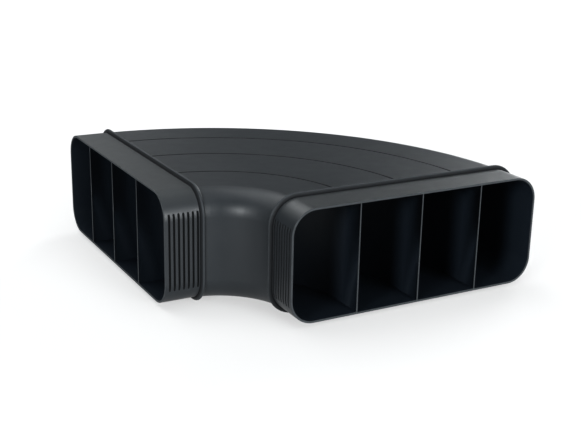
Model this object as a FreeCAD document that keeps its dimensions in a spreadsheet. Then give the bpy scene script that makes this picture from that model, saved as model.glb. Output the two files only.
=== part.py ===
"""Flat channel duct bend: a 90 degree turn in the flat, moulded in one piece.

Body frame while drawing: Z is the axis that the bend turns about and z = 0 is the duct's underside.
Leg a leaves towards -Y and leg b towards -X, each ending in a spigot that a channel slides over.
The body's Placement then puts the origin at the middle of the part's underside.
"""
import math
import os
from collections import namedtuple

import FreeCAD
import Part
import Sketcher

# Driving dimensions in millimetres, and counts
DIMENSIONS = [
    ("duct_width", "222"),       # outside of a spigot, across the flat
    ("duct_height", "89"),       # outside of a spigot, top to bottom
    ("corner_radius", "20"),     # outside rounding of the four long edges
    ("wall", "1.8"),
    ("vane_count", "3"),
    ("vane_thickness", "1.3"),
    ("vane_offset", "1.2"),      # vanes outward of where all channels are equally wide
    ("throat_radius", "48"),     # outside face of the bend's inner wall
    ("mouth_straight", "20.8"),  # straight run between the bend and each mouth
    ("bead_setback", "30.7"),    # mouth to the middle of the stop bead
    ("bead_width", "4.4"),       # on the skin
    ("bead_crest", "1.8"),       # flat along the top of the bead
    ("bead_rise", "3"),
    ("groove_count", "7"),       # grip grooves on each short side of a spigot
    ("groove_first", "3.9"),     # mouth to the middle of the first groove
    ("groove_pitch", "3.83"),
    ("groove_width", "1.5"),
    ("groove_depth", "0.9"),
    ("score_width", "1"),        # line in the top skin over each vane
    ("score_depth", "0.5"),
]
SHEET = "Sizes"
NODE = "duct_bend"
TURN_DEGREES = 90
SIZE_TOLERANCE = 0.05  # of the finished solid against its sizes

# A leg's section plane, whether that plane's normal points out of the mouth, and the turn that
# lays a plan sketch with its first axis across the leg and its second axis into the duct
Leg = namedtuple("Leg", "name plane other_plane outward plan_turn")
SWAP_X_AND_Y = FreeCAD.Rotation(FreeCAD.Vector(1, 1, 0), 180)
LEGS = [
    Leg("a", "XZ_Plane", "YZ_Plane", True, FreeCAD.Rotation()),
    Leg("b", "YZ_Plane", "XZ_Plane", False, SWAP_X_AND_Y),
]


class Size:
    """A length or count together with the sheet expression that it comes from."""

    def __init__(self, value, text):
        self.value = value
        self.text = text

    def joined(self, other, sign, value):
        return Size(value, f"({self.text} {sign} {other.text})")

    def __add__(self, other):
        return self.joined(other, "+", self.value + other.value)

    def __sub__(self, other):
        return self.joined(other, "-", self.value - other.value)

    def __mul__(self, other):
        return self.joined(other, "*", self.value * other.value)

    def __truediv__(self, other):
        return self.joined(other, "/", self.value / other.value)

    def __neg__(self):
        return Size(-self.value, f"(-{self.text})")


def number(value):
    return Size(value, str(value))


def make_sheet(doc):
    """Write the driving dimensions into the sheet and return them as sizes."""
    sheet = doc.addObject("Spreadsheet::Sheet", SHEET)
    for row, (alias, text) in enumerate(DIMENSIONS, start=1):
        sheet.set(f"A{row}", alias)
        sheet.set(f"B{row}", text)
        sheet.setAlias(f"B{row}", alias)
    doc.recompute()
    return {alias: Size(float(sheet.get(alias)), f"{SHEET}.{alias}") for alias, _ in DIMENSIONS}


# Sketches

def origin_feature(body, role):
    return next(item for item in body.Origin.OriginFeatures if item.Role == role)


def new_sketch(body, name, plane, offset, turn=FreeCAD.Rotation()):
    """A sketch on an origin plane, turned in it and moved along the plane's normal."""
    sketch = body.newObject("Sketcher::SketchObject", name)
    sketch.AttachmentSupport = (origin_feature(body, plane), [""])
    sketch.MapMode = "FlatFace"
    sketch.AttachmentOffset = FreeCAD.Placement(FreeCAD.Vector(), turn)
    sketch.setExpression("AttachmentOffset.Base.z", offset.text)
    return sketch


def section_sketch(body, leg, name, outward):
    """A sketch across a leg, a given way out from the axis of the bend."""
    return new_sketch(body, f"{name}_{leg.name}", leg.plane, outward if leg.outward else -outward)


def constrain(sketch, kind, *references):
    sketch.addConstraint(Sketcher.Constraint(kind, *references))


def dimension(sketch, kind, references, size):
    """A constraint whose value follows the sheet."""
    index = sketch.addConstraint(Sketcher.Constraint(kind, *references, size.value))
    sketch.setExpression(f"Constraints[{index}]", size.text)


def add_arc(sketch, centre_x, centre_y, radius, begin, end):
    centre = FreeCAD.Vector(centre_x, centre_y, 0)
    circle = Part.Circle(centre, FreeCAD.Vector(0, 0, 1), radius)
    return sketch.addGeometry(Part.ArcOfCircle(circle, begin, end), False)


def add_line(sketch, begin, end):
    return sketch.addGeometry(Part.LineSegment(FreeCAD.Vector(*begin, 0), FreeCAD.Vector(*end, 0)), False)


def draw_polygon(sketch, corners):
    """A closed outline of straight lines."""
    lines = []
    for index, (across, up) in enumerate(corners):
        next_across, next_up = corners[(index + 1) % len(corners)]
        lines.append(add_line(sketch, (across.value, up.value), (next_across.value, next_up.value)))
    for index, (across, up) in enumerate(corners):
        constrain(sketch, "Coincident", lines[index - 1], 2, lines[index], 1)
        dimension(sketch, "DistanceX", (-1, 1, lines[index], 1), across)
        dimension(sketch, "DistanceY", (-1, 1, lines[index], 1), up)


def draw_outline(sketch, left, right, low, high, left_radius=None, right_radius=None):
    """A closed upright rectangle whose left and right pairs of corners may be rounded."""
    corners = [
        (left.value, low.value, left_radius, 1, 1),
        (right.value, low.value, right_radius, -1, 1),
        (right.value, high.value, right_radius, -1, -1),
        (left.value, high.value, left_radius, 1, -1),
    ]

    def line_end(corner, level):
        across, up, radius, inward_x, inward_y = corner
        reach = radius.value if radius else 0
        return (across + inward_x * reach, up) if level else (across, up + inward_y * reach)

    lines = []
    for index in range(4):
        level = index % 2 == 0
        line = add_line(sketch, line_end(corners[index], level), line_end(corners[(index + 1) % 4], level))
        constrain(sketch, "Horizontal" if level else "Vertical", line)
        lines.append(line)
    for index, (across, up, radius, inward_x, inward_y) in enumerate(corners):
        before, after = lines[index - 1], lines[index]
        if radius is None:
            constrain(sketch, "Coincident", before, 2, after, 1)
            continue
        reach = radius.value
        begin = math.pi * (1 + index / 2)
        end = begin + math.pi / 2
        arc = add_arc(sketch, across + inward_x * reach, up + inward_y * reach, reach, begin, end)
        constrain(sketch, "Tangent", before, 2, arc, 1)
        constrain(sketch, "Tangent", arc, 2, after, 1)
        dimension(sketch, "Radius", (arc,), radius)
    dimension(sketch, "DistanceY", (-1, 1, lines[0], 1), low)
    dimension(sketch, "DistanceX", (-1, 1, lines[1], 1), right)
    dimension(sketch, "DistanceY", (-1, 1, lines[2], 1), high)
    dimension(sketch, "DistanceX", (-1, 1, lines[3], 1), left)


def draw_duct(sketch, size):
    """The outside of the duct: a flat oblong with rounded corners."""
    inner_side = size["throat_radius"]
    outer_side = inner_side + size["duct_width"]
    radius = size["corner_radius"]
    draw_outline(sketch, inner_side, outer_side, number(0), size["duct_height"], radius, radius)


def draw_channels(sketch, size):
    """The air channels, which leave the wall around them and the vanes between them."""
    wall = size["wall"]
    low = wall
    high = size["duct_height"] - wall
    radius = size["corner_radius"] - wall
    half_vane = size["vane_thickness"] / number(2)
    lefts = [size["throat_radius"] + wall]
    rights = []
    for middle in vane_middles(size):
        rights.append(middle - half_vane)
        lefts.append(middle + half_vane)
    rights.append(size["throat_radius"] + size["duct_width"] - wall)
    last = len(lefts) - 1
    for index, (left, right) in enumerate(zip(lefts, rights)):
        left_radius = radius if index == 0 else None
        right_radius = radius if index == last else None
        draw_outline(sketch, left, right, low, high, left_radius, right_radius)


def vane_middles(size):
    """Distance of each vane's middle from the axis of the bend."""
    vane = size["vane_thickness"]
    pitch = (size["duct_width"] - size["wall"] * number(2) + vane) / (size["vane_count"] + number(1))
    start = size["throat_radius"] + size["wall"] - vane / number(2) + size["vane_offset"]
    return [start + pitch * number(index) for index in range(1, round(size["vane_count"].value) + 1)]


def draw_bead(sketch, size):
    """The bead's profile: a ridge with a flat crest, whose sides run on down into the wall."""
    along = size["bead_setback"] - size["mouth_straight"]
    skin = size["duct_height"]
    rise = size["bead_rise"]
    sink = size["wall"] / number(2)
    half_crest = size["bead_crest"] / number(2)
    half_width = size["bead_width"] / number(2)
    half_base = half_width + (half_width - half_crest) * sink / rise
    draw_polygon(sketch, [
        (along - half_base, skin - sink),
        (along + half_base, skin - sink),
        (along + half_crest, skin + rise),
        (along - half_crest, skin + rise),
    ])


def draw_grooves(sketch, size):
    """Plan of the grooves on both short sides of a spigot."""
    half_width = size["groove_width"] / number(2)
    depth = size["groove_depth"]
    first = size["groove_first"] - size["mouth_straight"]
    inner_side = size["throat_radius"]
    outer_side = inner_side + size["duct_width"]
    for index in range(round(size["groove_count"].value)):
        middle = first + size["groove_pitch"] * number(index)
        for side in (inner_side, outer_side):
            draw_outline(sketch, side - depth, side + depth, middle - half_width, middle + half_width)


def draw_score_lines(sketch, size):
    """Section of the lines over the vanes: a V whose sides run on past the skin."""
    skin = size["duct_height"]
    depth = size["score_depth"]
    width = size["score_width"]
    for middle in vane_middles(size):
        draw_polygon(sketch, [
            (middle - width, skin + depth),
            (middle, skin - depth),
            (middle + width, skin + depth),
        ])


# Features

def new_feature(body, kind, name, sketch):
    feature = body.newObject(f"PartDesign::{kind}", name)
    feature.Profile = sketch
    return feature


def turn_about_axis(body, kind, name, sketch):
    """Sweep a section a quarter turn about the axis of the bend."""
    feature = new_feature(body, kind, name, sketch)
    feature.ReferenceAxis = (origin_feature(body, "Z_Axis"), [""])
    feature.Angle = TURN_DEGREES


def pad_inward(body, leg, name, sketch, length):
    pad = new_feature(body, "Pad", f"{name}_{leg.name}", sketch)
    pad.Reversed = leg.outward
    pad.setExpression("Length", length.text)


def cut_inward(body, leg, name, sketch, length):
    pocket = new_feature(body, "Pocket", f"{name}_{leg.name}", sketch)
    pocket.Reversed = not leg.outward
    pocket.setExpression("Length", length.text)


def make_bend(body, size):
    """The solid quarter turn, before it is hollowed."""
    sketch = new_sketch(body, "bend_section", "XZ_Plane", number(0))
    draw_duct(sketch, size)
    turn_about_axis(body, "Revolution", "bend", sketch)


def make_spigot(body, leg, size):
    """A straight solid from the mouth to the bead, with what bulges past it there cut away."""
    sketch = section_sketch(body, leg, "spigot_section", size["mouth_straight"])
    draw_duct(sketch, size)
    pad_inward(body, leg, "spigot", sketch, size["bead_setback"])

    trim = section_sketch(body, leg, "trim_section", size["mouth_straight"])
    draw_duct(trim, size)
    margin = size["bead_width"]
    inner_side = size["throat_radius"] - margin
    outer_side = size["throat_radius"] + size["duct_width"] + margin
    draw_outline(trim, inner_side, outer_side, -margin, size["duct_height"] + margin)
    cut_inward(body, leg, "trim", trim, size["bead_setback"])


def make_grooves(body, leg, size):
    """Upright grip grooves, which run out where the rounded corners fall away from them."""
    sketch = new_sketch(body, f"groove_plan_{leg.name}", "XY_Plane", size["duct_height"], leg.plan_turn)
    draw_grooves(sketch, size)
    pocket = new_feature(body, "Pocket", f"grooves_{leg.name}", sketch)
    pocket.Type = "ThroughAll"
    pocket.Reversed = not leg.outward


def make_bead(body, leg, size):
    """The bead that stops the channel, swept around the spigot."""
    path = section_sketch(body, leg, "bead_path", size["mouth_straight"] - size["bead_setback"])
    draw_duct(path, size)
    middle = size["throat_radius"] + size["duct_width"] / number(2)
    offset = middle if leg.outward else -middle
    profile = new_sketch(body, f"bead_profile_{leg.name}", leg.other_plane, offset)
    draw_bead(profile, size)
    bead = new_feature(body, "AdditivePipe", f"bead_{leg.name}", profile)
    bead.Spine = path


def hollow_bend(body, size):
    sketch = new_sketch(body, "bend_channels", "XZ_Plane", number(0))
    draw_channels(sketch, size)
    turn_about_axis(body, "Groove", "bend_hollow", sketch)


def hollow_mouth(body, leg, size):
    sketch = section_sketch(body, leg, "mouth_channels", size["mouth_straight"])
    draw_channels(sketch, size)
    cut_inward(body, leg, "mouth_hollow", sketch, size["mouth_straight"])


def make_score_lines(body, size):
    """Shallow lines in the top skin over the vanes. The spigots and beads end them."""
    sketch = new_sketch(body, "score_section", "XZ_Plane", number(0))
    draw_score_lines(sketch, size)
    turn_about_axis(body, "Groove", "score_lines", sketch)


def place_body(body, size):
    """Put the origin at the middle of the underside that the beads rest on."""
    reach = size["throat_radius"] + size["duct_width"] + size["bead_rise"]
    middle = (reach - size["mouth_straight"]) / number(2)
    body.setExpression("Placement.Base.x", (-middle).text)
    body.setExpression("Placement.Base.y", (-middle).text)
    body.setExpression("Placement.Base.z", size["bead_rise"].text)


def check_document(doc, body, size):
    """Stop if a feature failed or the finished solid isn't as large as the sizes say."""
    failed = [item.Name for item in doc.Objects if {"Invalid", "Error"} & set(item.State)]
    if failed:
        raise RuntimeError(f"failed features: {failed}")
    shape = body.Shape
    if shape.isNull() or not shape.isValid() or len(shape.Solids) != 1:
        raise RuntimeError("the bend isn't one valid solid")
    across = size["mouth_straight"] + size["throat_radius"] + size["duct_width"] + size["bead_rise"]
    upright = size["duct_height"] + size["bead_rise"] * number(2)
    box = shape.optimalBoundingBox(False)
    found = (box.XLength, box.YLength, box.ZLength)
    wanted = (across.value, across.value, upright.value)
    if max(abs(one - other) for one, other in zip(found, wanted)) > SIZE_TOLERANCE:
        raise RuntimeError(f"the bend measures {found} mm, not {wanted}")
    print(f"{body.Label}: {shape.Volume / 1000:.1f} cm3, {found[0]:.1f} x {found[1]:.1f} x {found[2]:.1f} mm")


def main():
    doc = FreeCAD.newDocument("flat_channel_bend")
    size = make_sheet(doc)
    body = doc.addObject("PartDesign::Body", NODE)
    body.Label = NODE
    make_bend(body, size)
    make_score_lines(body, size)
    for leg in LEGS:
        make_spigot(body, leg, size)
        make_bead(body, leg, size)
        make_grooves(body, leg, size)
    hollow_bend(body, size)
    for leg in LEGS:
        hollow_mouth(body, leg, size)
    place_body(body, size)
    doc.recompute()
    check_document(doc, body, size)
    os.makedirs("parts", exist_ok=True)
    body.Shape.exportStep(f"parts/{body.Label}.step")


main()
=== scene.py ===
"""Dress the flat channel duct bend: softened edges, satin plastic, a pale floor, soft light and the camera."""
import math

import bmesh
import bpy
from mathutils import Matrix, Vector


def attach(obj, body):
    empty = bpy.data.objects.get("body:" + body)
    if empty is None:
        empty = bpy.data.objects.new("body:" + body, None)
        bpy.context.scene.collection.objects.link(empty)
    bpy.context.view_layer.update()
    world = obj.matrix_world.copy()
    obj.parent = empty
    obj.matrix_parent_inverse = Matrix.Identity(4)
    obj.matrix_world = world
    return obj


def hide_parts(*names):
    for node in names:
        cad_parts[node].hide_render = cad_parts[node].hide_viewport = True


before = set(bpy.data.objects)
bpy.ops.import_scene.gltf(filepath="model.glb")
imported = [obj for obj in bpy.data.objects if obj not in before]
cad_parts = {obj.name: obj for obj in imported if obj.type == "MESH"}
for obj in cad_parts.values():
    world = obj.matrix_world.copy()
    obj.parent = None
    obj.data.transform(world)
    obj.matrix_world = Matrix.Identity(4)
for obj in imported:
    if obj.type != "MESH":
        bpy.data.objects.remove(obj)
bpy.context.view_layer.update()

MM = 0.001

# The duct's section and where it lies in the part's frame
MOUTH = -0.1469
BEND_AXIS = -0.1261
DUCT_MIDDLE = 0.159
HALF_WIDTH = 0.111
MIDDLE_HEIGHT = 0.0475
HALF_HEIGHT = 0.0445
CORNER = 0.02
TOP_SKIN = 0.092
SPIGOT_LENGTH = 0.0283
INNER_DEPTH = 0.0012

# The stop bead
BEAD_FROM_MOUTH = 0.0307
BEAD_ZONE = 0.0026
BEAD_RISE = 0.003
CREST_FROM = 0.85

# The grip grooves
GROOVES_FROM_MOUTH = (0.002, 0.0277)
GROOVE_DEPTH = 0.0009
GROOVE_EDGE = 0.00012

# The lines over the vanes, by their distance from the bend's axis
FIRST_VANE_LINE = 0.105275
VANE_LINE_PITCH = 0.054925
VANE_LINE_HALF_WIDTH = 0.0008
VANE_LINE_BOTTOM = 0.0911
# How far from a line's middle its painted shade is full, and where it has faded to none
VANE_LINE_PAINTED_SHADE_REACH = (0.0007, 0.0012)
LINED_SKIN_DEPTH = 0.001

# How near counts as on the skin, on the lip, inside the duct or in the bottom of a line
TOUCH = 0.00003
SKIN_SLACK = 0.01 * MM
LIP_PLANE = 0.05 * MM
LIP_DEPTH = 0.2 * MM
INSIDE_FROM_MOUTH = 0.5 * MM
LINE_BOTTOM_FROM = 0.2 * MM

# How far each kind of edge is rounded
LIP_ROUND = 0.45 * MM
BEAD_CREST_ROUND = 0.75 * MM
BEAD_FRONT_FOOT_ROUND = 0.5 * MM
GROOVE_ROUND = 0.3 * MM
WIDEST_ROUND = BEAD_CREST_ROUND
ROUND_STEPS = 3
MERGE_GAP = 0.002 * MM
FLAT_ANGLE = math.radians(0.2)
SHARP_ANGLE = math.radians(24)
FEWEST_CUT_SIDES = 5

# How the bead is marked: its crest worn with a painted highlight, its back foot in faint painted shade, its
# front foot in dark painted shade that climbs higher on top
CREST_WEAR_AND_HIGHLIGHT = 0.4
BACK_FOOT_PAINTED_SHADE = 0.2
FRONT_FOOT_FADE = 1.1
FRONT_FOOT_TOP_HOLD = 0.35

# The plastic's colours: its own uneven tones, painted shade inside the duct, painted light on the spigots and
# lips, painted shade in recesses and a painted highlight on worn edges
SKIN_SHADES = ((0.02, 0.0235, 0.0268, 1), (0.024, 0.0275, 0.0308, 1))
INSIDE_PAINTED_SHADE = (0.018, 0.024, 0.032, 1)
SPIGOT_PAINTED_LIGHT = (0.0335, 0.037, 0.039, 1)
RECESS_SHADE = (0.001, 0.0015, 0.0025, 1)
WORN_EDGE_HIGHLIGHT = (0.06, 0.066, 0.072, 1)

# The plastic's patterns, as scale and detail, and its gloss
CLOUD_PATTERN = (24, 4)
SCUFF_PATTERN = (260, 3)
GLOSS_PATTERN = (90, 5)
GRAIN_PATTERN = (1500, 2)
PATTERN_RANGE = (0.3, 0.7)
SKIN_ROUGHNESS = (0.4, 0.44)
RECESS_DULLING = 0.5
RUBBED_DULLING = 0.6
SKIN_SPECULAR = 0.4
GRAIN_STRENGTH = 0.12
GRAIN_HEIGHT = 0.05 * MM

# The floor and the studio air
FLOOR_REACH = 12
FLOOR_PAINT = (0.3, 0.3, 0.3, 1)
FLOOR_ROUGHNESS = 0.9
FLOOR_GLOW = 0.38
WHITE = (1, 1, 1, 1)
DIM_AIR = (0.95, 1, 1.05, 1)
DIM_AIR_STRENGTH = 0.01
PALE_AIR_STRENGTH = 0.8

# Soft lamps around the bend: bearing and height in degrees, width in degrees, strength
STUDIO_LAMPS = {
    "left_front_box": (208, 16, 16, 1.8),
    "left_wall_glow": (165, 24, 60, 0.45),
    "low_front_lamp": (285, 8, 30, 2.4),
    "front_right_lamp": (271, 22, 45, 0.8),
    "high_right_lamp": (300, 55, 45, 0.33),
    "high_behind_lamp": (61, 58, 45, 0.18),
    "overhead_lamp": (0, 90, 60, 0.74),
    "high_back_lamp": (120, 55, 45, 0.8),
    "back_right_lamp": (31, 22, 30, 1.45),
    "back_left_box": (85, 33, 22, 0.24),
    "back_left_glow": (91, 22, 45, 0.19),
}
LAMP_TINT = (0.98, 1, 1.01)
LAMP_DISTANCE = 2

# The photograph's camera, its focal length in picture points
CAMERA_PLACE = (-0.42893, -0.77777, 0.32315)
CAMERA_RIGHT = (0.8779, -0.4784, 0.0204)
CAMERA_FORWARD = (0.46036, 0.83153, -0.31084)
CAMERA_REACH = (0.05, 50)
FOCAL_POINTS = 1080
PHOTO_WIDTH = 581
SENSOR_WIDTH = 36


def set_in_scene(name, data):
    """A scene object made from a mesh, a lamp or a camera."""
    thing = bpy.data.objects.new(name, data)
    bpy.context.scene.collection.objects.link(thing)
    return thing


def from_mouth(point):
    """How far a point lies behind the nearer mouth plane."""
    return min(point.x, point.y) - MOUTH


def around_turn(point):
    """How far a point lies from the axis that the duct bends about."""
    return math.hypot(point.x - BEND_AXIS, point.y - BEND_AXIS)


def across_spigot(point):
    """How far across a spigot a point lies, from the axis that the duct bends about."""
    return max(point.x, point.y) - BEND_AXIS


def under_skin(across, height):
    """How far a point of the duct's section lies under the outer skin."""
    past_side = abs(across - DUCT_MIDDLE) - HALF_WIDTH + CORNER
    past_top = abs(height - MIDDLE_HEIGHT) - HALF_HEIGHT + CORNER
    past_corner = math.hypot(max(past_side, 0), max(past_top, 0))
    return CORNER - past_corner - min(max(past_side, past_top), 0)


def in_groove_band(behind):
    """Whether a distance behind the mouth lies where the grip grooves are."""
    return GROOVES_FROM_MOUTH[0] < behind < GROOVES_FROM_MOUTH[1]


def edge_round(edge):
    """The rounding that the mould leaves on one edge, or none."""
    angle = edge.calc_face_angle_signed()
    if abs(angle) < SHARP_ANGLE:
        return 0.0
    depths = [from_mouth(vert.co) for vert in edge.verts]
    if max(depths) < LIP_PLANE:
        return LIP_ROUND
    if max(abs(depth - BEAD_FROM_MOUTH) for depth in depths) < BEAD_ZONE:
        if angle > 0:
            return BEAD_CREST_ROUND
        return BEAD_FRONT_FOOT_ROUND if min(depths) < BEAD_FROM_MOUTH else 0.0
    if angle > 0 and all(in_groove_band(depth) for depth in depths):
        return GROOVE_ROUND
    return 0.0


def open_vane_line(vert):
    """Open a skin line a little at one of its points, as the mould's worn ridge leaves it."""
    radius = around_turn(vert.co)
    line = FIRST_VANE_LINE + VANE_LINE_PITCH * round((radius - FIRST_VANE_LINE) / VANE_LINE_PITCH)
    on_skin = TOP_SKIN - LINED_SKIN_DEPTH < vert.co.z < TOP_SKIN + SKIN_SLACK
    on_flat = from_mouth(vert.co) >= BEAD_FROM_MOUTH and abs(radius - DUCT_MIDDLE) <= HALF_WIDTH - CORNER
    if abs(radius - line) > VANE_LINE_HALF_WIDTH or not on_skin or not on_flat:
        return
    if vert.co.z < TOP_SKIN - LINE_BOTTOM_FROM:
        vert.co.z = VANE_LINE_BOTTOM
        return
    moved = (line + math.copysign(VANE_LINE_HALF_WIDTH, radius - line)) / radius
    vert.co.x = BEND_AXIS + (vert.co.x - BEND_AXIS) * moved
    vert.co.y = BEND_AXIS + (vert.co.y - BEND_AXIS) * moved


def soften_moulding(cad_bend):
    """A merged copy of the bend with its lips, beads and grooves rounded."""
    shell = bmesh.new()
    shell.from_mesh(cad_bend.data)
    bmesh.ops.remove_doubles(shell, verts=shell.verts, dist=MERGE_GAP)
    bmesh.ops.dissolve_limit(shell, angle_limit=FLAT_ANGLE, use_dissolve_boundaries=False,
                             verts=shell.verts, edges=shell.edges, delimit=set())
    for vert in shell.verts:
        open_vane_line(vert)
    rounding = shell.edges.layers.float.new("bevel_weight_edge")
    for face in shell.faces:
        face.smooth = True
    for edge in shell.edges:
        edge[rounding] = edge_round(edge) / WIDEST_ROUND
        edge.smooth = abs(edge.calc_face_angle_signed()) < SHARP_ANGLE or edge[rounding] > 0
    mesh = bpy.data.meshes.new("sharp_moulding")
    shell.to_mesh(mesh)
    shell.free()
    bend = set_in_scene("bend_moulding", mesh)
    rounder = bend.modifiers.new("rounded_edges", "BEVEL")
    rounder.limit_method = "WEIGHT"
    rounder.width = WIDEST_ROUND
    rounder.segments = ROUND_STEPS
    rounder.profile = 0.5
    rounder.use_clamp_overlap = False
    rounder.material = -1
    evaluated = bend.evaluated_get(bpy.context.evaluated_depsgraph_get())
    rounded = bpy.data.meshes.new_from_object(evaluated)
    rounded.name = "bend_moulding"
    bend.modifiers.clear()
    bend.data = rounded
    bpy.data.meshes.remove(mesh)
    flats = bend.modifiers.new("even_flats", "WEIGHTED_NORMAL")
    flats.keep_sharp = True
    cuts = bend.modifiers.new("even_triangles", "TRIANGULATE")
    cuts.min_vertices = FEWEST_CUT_SIDES
    cuts.ngon_method = "BEAUTY"
    cuts.keep_custom_normals = True
    return bend


def bead_marks(climb, behind, level):
    """How much painted shade a bead carries at a share of its rise, and how much wear with a painted
    highlight.
    """
    if climb > CREST_FROM:
        return 0.0, CREST_WEAR_AND_HIGHLIGHT
    if behind > BEAD_FROM_MOUTH:
        return BACK_FOOT_PAINTED_SHADE * (1 - climb), 0.0
    return max(1 - climb * (FRONT_FOOT_FADE - FRONT_FOOT_TOP_HOLD * level), 0.0), 0.0


def point_marks(point):
    """How much painted shade, how much wear with a painted highlight and how much painted light of the paler
    spigots the moulding carries at a point.
    """
    behind = from_mouth(point)
    # The lips: worn, with a painted highlight, and paler with the spigots' painted light
    if behind < LIP_DEPTH:
        return 0.0, 1.0, 1.0
    # How high a point lies towards the top skin; the painted light on the spigots and the painted shade at the
    # bead's front foot are strongest on top
    level = min(max((point.z - TOP_SKIN) / (CORNER / 2) + 1, 0.0), 1.0)
    straight = under_skin(across_spigot(point), point.z)
    # On the spigots' outer skin: painted light, strongest on top and fading down the sides
    if behind < SPIGOT_LENGTH and abs(straight) < TOUCH:
        return 0.0, 0.0, level
    turned = under_skin(around_turn(point), point.z)
    proud = -straight if behind < BEAD_FROM_MOUTH else -max(straight, turned)
    if abs(behind - BEAD_FROM_MOUTH) < BEAD_ZONE and proud > TOUCH:
        return bead_marks(proud / BEAD_RISE, behind, level) + (0.0,)
    return 0.0, 0.0, 0.0


def face_marks(centre):
    """Whether a face is inside the duct, which takes painted shade, or on the lined top skin, where painted
    shade runs along the vane lines, and how deep it lies in a grip groove, which sets the painted shade there.
    """
    behind = from_mouth(centre)
    across = across_spigot(centre) if behind < SPIGOT_LENGTH else around_turn(centre)
    depth = under_skin(across, centre.z)
    if depth > INNER_DEPTH:
        return float(behind > INSIDE_FROM_MOUTH), 0.0, 0.0
    # Painted shade in a grip groove, growing to full with its depth
    if in_groove_band(behind) and depth > GROOVE_EDGE:
        return 0.0, 0.0, min(depth / GROOVE_DEPTH, 1.0)
    return 0.0, float(behind > BEAD_FROM_MOUTH and centre.z > TOP_SKIN - LINED_SKIN_DEPTH), 0.0


def write_marks(mesh, names, domain, marks):
    """Write lists of marks on a mesh's points or faces under their names."""
    for index, name in enumerate(names):
        layer = mesh.attributes.new(name, "FLOAT", domain)
        layer.data.foreach_set("value", [mark[index] for mark in marks])


def noise(nodes, links, place, scale, detail):
    """A noise pattern fixed to the moulding."""
    pattern = nodes.new("ShaderNodeTexNoise")
    pattern.inputs["Scale"].default_value = scale
    pattern.inputs["Detail"].default_value = detail
    links.new(place.outputs["Object"], pattern.inputs["Vector"])
    return pattern.outputs["Fac"]


def spread(nodes, links, value, given, wanted):
    """A value brought from a given range to a wanted one."""
    step = nodes.new("ShaderNodeMapRange")
    step.inputs["From Min"].default_value, step.inputs["From Max"].default_value = given
    step.inputs["To Min"].default_value, step.inputs["To Max"].default_value = wanted
    links.new(value, step.inputs["Value"])
    return step.outputs["Result"]


def shade_towards(nodes, links, mask, plain, colour):
    """A colour that goes from a plain one to another where a mask says so."""
    mix = nodes.new("ShaderNodeMix")
    mix.data_type = "RGBA"
    links.new(mask, mix.inputs["Factor"])
    links.new(plain, mix.inputs["A"])
    mix.inputs["B"].default_value = colour
    return mix.outputs["Result"]


def mark_on(nodes, name):
    """The value that the moulding carries under a name."""
    mark = nodes.new("ShaderNodeAttribute")
    mark.attribute_name = name
    return mark.outputs["Fac"]


def figure(nodes, links, operation, *values):
    """One step of arithmetic on sockets and numbers."""
    step = nodes.new("ShaderNodeMath")
    step.operation = operation
    for slot, value in zip(step.inputs, values):
        if isinstance(value, float):
            slot.default_value = value
        else:
            links.new(value, slot)
    return step.outputs["Value"]


def vane_line_painted_shade(nodes, links, place):
    """Painted shade along the lines over the vanes on the top skin, full near their middles."""
    radius = nodes.new("ShaderNodeVectorMath")
    radius.operation = "DISTANCE"
    links.new(place.outputs["Object"], radius.inputs[0])
    radius.inputs[1].default_value = (BEND_AXIS, BEND_AXIS, TOP_SKIN)
    past_first = figure(nodes, links, "SUBTRACT", radius.outputs["Value"], FIRST_VANE_LINE)
    aside = figure(nodes, links, "PINGPONG", past_first, VANE_LINE_PITCH / 2)
    line = spread(nodes, links, aside, VANE_LINE_PAINTED_SHADE_REACH, (1, 0))
    return figure(nodes, links, "MULTIPLY", line, mark_on(nodes, "lined"))


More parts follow.
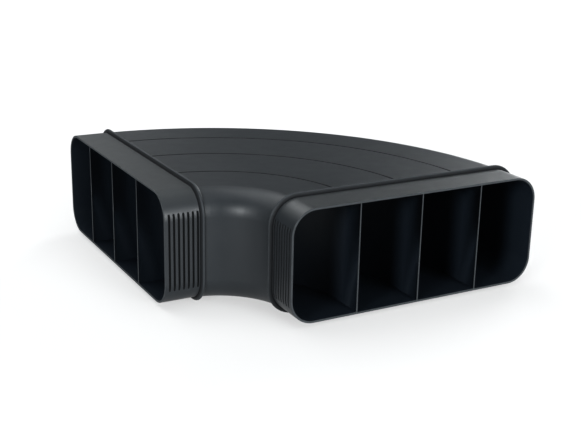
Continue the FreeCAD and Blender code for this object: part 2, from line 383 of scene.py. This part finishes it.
def satin_plastic():
    """Dark satin moulded plastic: uneven tone, painted shade in the recesses, along the vane lines and inside
    the duct, painted light on the spigots, edges worn and given a painted highlight, and a fine moulded grain.
    """
    material = bpy.data.materials.new("satin_duct_plastic")
    material.use_nodes = True
    nodes, links = material.node_tree.nodes, material.node_tree.links
    surface = nodes["Principled BSDF"]
    surface.inputs["Specular IOR Level"].default_value = SKIN_SPECULAR
    place = nodes.new("ShaderNodeTexCoord")
    wear_and_highlight = mark_on(nodes, "wear_and_highlight")
    # Painted shade at the bead's feet, along the vane lines and in the grip grooves
    painted_recess_shade = figure(nodes, links, "MAXIMUM", mark_on(nodes, "painted_recess_shade"), vane_line_painted_shade(nodes, links, place))
    painted_recess_shade = figure(nodes, links, "MAXIMUM", painted_recess_shade, mark_on(nodes, "groove"))

    shade = nodes.new("ShaderNodeValToRGB")
    for stop, position, colour in zip(shade.color_ramp.elements, PATTERN_RANGE, SKIN_SHADES):
        stop.position = position
        stop.color = colour
    links.new(noise(nodes, links, place, *CLOUD_PATTERN), shade.inputs["Fac"])
    # Painted shade: a darker, bluer tone on every face inside the duct
    colour = shade_towards(nodes, links, mark_on(nodes, "inside"), shade.outputs["Color"], INSIDE_PAINTED_SHADE)
    # Painted light: the spigots' tops and lips paler
    colour = shade_towards(nodes, links, mark_on(nodes, "spigot"), colour, SPIGOT_PAINTED_LIGHT)
    # Painted shade, near black, in those recesses
    colour = shade_towards(nodes, links, painted_recess_shade, colour, RECESS_SHADE)
    # A painted highlight on the worn lips and bead crest, broken by a scuff pattern
    worn = figure(nodes, links, "MULTIPLY", wear_and_highlight, noise(nodes, links, place, *SCUFF_PATTERN))
    colour = shade_towards(nodes, links, worn, colour, WORN_EDGE_HIGHLIGHT)
    links.new(colour, surface.inputs["Base Color"])

    gloss = spread(nodes, links, noise(nodes, links, place, *GLOSS_PATTERN), PATTERN_RANGE, SKIN_ROUGHNESS)
    dull = figure(nodes, links, "MULTIPLY_ADD", painted_recess_shade, RECESS_DULLING, gloss)
    dull = figure(nodes, links, "MULTIPLY_ADD", wear_and_highlight, RUBBED_DULLING, dull)
    links.new(dull, surface.inputs["Roughness"])

    grain = nodes.new("ShaderNodeBump")
    grain.inputs["Strength"].default_value = GRAIN_STRENGTH
    grain.inputs["Distance"].default_value = GRAIN_HEIGHT
    links.new(noise(nodes, links, place, *GRAIN_PATTERN), grain.inputs["Height"])
    links.new(grain.outputs["Normal"], surface.inputs["Normal"])
    return material


def pale_floor():
    """A plain pale lit floor that runs past the picture on every side."""
    sheet = bmesh.new()
    bmesh.ops.create_grid(sheet, x_segments=1, y_segments=1, size=FLOOR_REACH)
    mesh = bpy.data.meshes.new("pale_floor")
    sheet.to_mesh(mesh)
    sheet.free()
    material = bpy.data.materials.new("pale_floor_paint")
    material.use_nodes = True
    surface = material.node_tree.nodes["Principled BSDF"]
    surface.inputs["Base Color"].default_value = FLOOR_PAINT
    surface.inputs["Roughness"].default_value = FLOOR_ROUGHNESS
    surface.inputs["Specular IOR Level"].default_value = 0
    surface.inputs["Emission Color"].default_value = WHITE
    surface.inputs["Emission Strength"].default_value = FLOOR_GLOW
    mesh.materials.append(material)
    return set_in_scene("pale_floor", mesh)


def studio_air():
    """Dim air that lights the bend hardly at all and looks pale behind the floor."""
    world = bpy.data.worlds.new("studio_air")
    bpy.context.scene.world = world
    world.use_nodes = True
    nodes, links = world.node_tree.nodes, world.node_tree.links
    dim = nodes["Background"]
    dim.inputs["Color"].default_value = DIM_AIR
    dim.inputs["Strength"].default_value = DIM_AIR_STRENGTH
    pale = nodes.new("ShaderNodeBackground")
    pale.inputs["Color"].default_value = WHITE
    pale.inputs["Strength"].default_value = PALE_AIR_STRENGTH
    seen = nodes.new("ShaderNodeLightPath")
    air = nodes.new("ShaderNodeMixShader")
    links.new(seen.outputs["Is Camera Ray"], air.inputs["Fac"])
    links.new(dim.outputs["Background"], air.inputs[1])
    links.new(pale.outputs["Background"], air.inputs[2])
    links.new(air.outputs["Shader"], nodes["World Output"].inputs["Surface"])


def studio_lamps():
    """Wide soft lamps all round, each turned towards the bend."""
    for name, (bearing, height, width, strength) in STUDIO_LAMPS.items():
        glow = bpy.data.lights.new(name, "SUN")
        glow.energy = strength
        glow.angle = math.radians(width)
        glow.color = LAMP_TINT
        lamp = set_in_scene(name, glow)
        turn, lift = math.radians(bearing), math.radians(height)
        level = math.cos(lift)
        towards = Vector((math.cos(turn) * level, math.sin(turn) * level, math.sin(lift)))
        lamp.location = towards * LAMP_DISTANCE
        lamp.rotation_euler = (-towards).to_track_quat("-Z", "Y").to_euler()


def photo_camera():
    """The camera at the photograph's viewing angle."""
    lens = bpy.data.cameras.new("photo_camera")
    lens.sensor_width = SENSOR_WIDTH
    lens.lens = FOCAL_POINTS * SENSOR_WIDTH / PHOTO_WIDTH
    lens.clip_start, lens.clip_end = CAMERA_REACH
    camera = set_in_scene("photo_camera", lens)
    forward = Vector(CAMERA_FORWARD).normalized()
    up = Vector(CAMERA_RIGHT).cross(forward).normalized()
    turn = Matrix((forward.cross(up), up, -forward)).transposed()
    camera.matrix_world = Matrix.Translation(CAMERA_PLACE) @ turn.to_4x4()
    bpy.context.scene.camera = camera


bend = soften_moulding(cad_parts["duct_bend"])
# On the points: painted shade at the bead's feet, wear with a painted highlight on lips and crest, and painted
# light on the spigots
write_marks(bend.data, ("painted_recess_shade", "wear_and_highlight", "spigot"), "POINT",
            [point_marks(vert.co) for vert in bend.data.vertices])
# On the faces: painted shade inside the duct, along the vane lines and in the grip grooves
write_marks(bend.data, ("inside", "lined", "groove"), "FACE",
            [face_marks(face.center) for face in bend.data.polygons])
bend.data.materials.append(satin_plastic())
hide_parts("duct_bend")
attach(bend, "root")
pale_floor()
studio_air()
studio_lamps()
photo_camera()
bpy.context.scene.view_settings.view_transform = "Standard"
bpy.context.scene.view_settings.look = "High Contrast"
